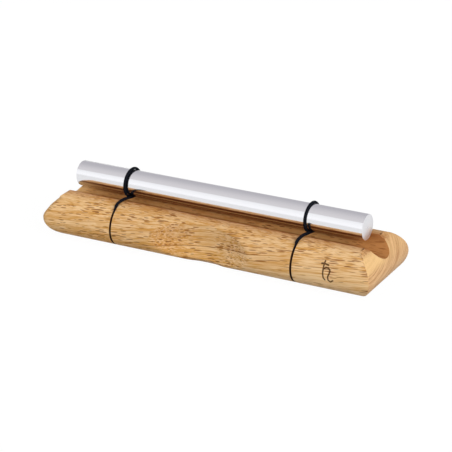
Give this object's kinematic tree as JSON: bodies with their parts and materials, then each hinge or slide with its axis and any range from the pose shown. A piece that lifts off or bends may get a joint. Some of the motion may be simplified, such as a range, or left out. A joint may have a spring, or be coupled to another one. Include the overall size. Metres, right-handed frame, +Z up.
{
  "type": "chime bar",
  "caption": "Turned metal chime rod slung in elastic cords over a grooved hardwood base with rounded sides and finger scoops; struck with a beater, it rings on a clear note.",
  "frame": {"origin": "middle of the flat underside of the base, on the table", "axes": "+X along the rod, +Y away from the player, +Z up"},
  "size_m": [0.18, 0.0452, 0.0366],
  "materials": {
    "base_wood": "open-pored pale hardwood with growth-ring figure, thin satin oil or lacquer",
    "rod_aluminium": "fine turned and polished, clear",
    "elastic_cord": "braided elastic cord, near black, matt"
  },
  "bodies": {
    "base": {"base_block": "base_wood", "left_cord_knot": "elastic_cord", "left_cord_front_run": "elastic_cord", "left_cord_rear_run": "elastic_cord", "right_cord_knot": "elastic_cord", "right_cord_front_run": "elastic_cord", "right_cord_rear_run": "elastic_cord", "left_cord_front_span": "elastic_cord", "left_cord_rear_span": "elastic_cord", "right_cord_front_span": "elastic_cord", "right_cord_rear_span": "elastic_cord"},
    "slings": {"left_cord_turn": "elastic_cord", "right_cord_turn": "elastic_cord"},
    "rod": {"chime_rod": "rod_aluminium"}
  },
  "joints": [
    {"name": "rod_bounce", "type": "slide", "parent": "base", "child": "slings", "axis": [0, 0, 1], "range_m": [-0.004, 0.003], "stiffness_N_per_m": 139, "springref_m": 0.0038, "deforming": ["left_cord_front_span", "left_cord_rear_span", "right_cord_front_span", "right_cord_rear_span"]},
    {"name": "rod_slide", "type": "slide", "parent": "slings", "child": "rod", "axis": [1, 0, 0], "range_m": [-0.01, 0.01]}
  ]
}
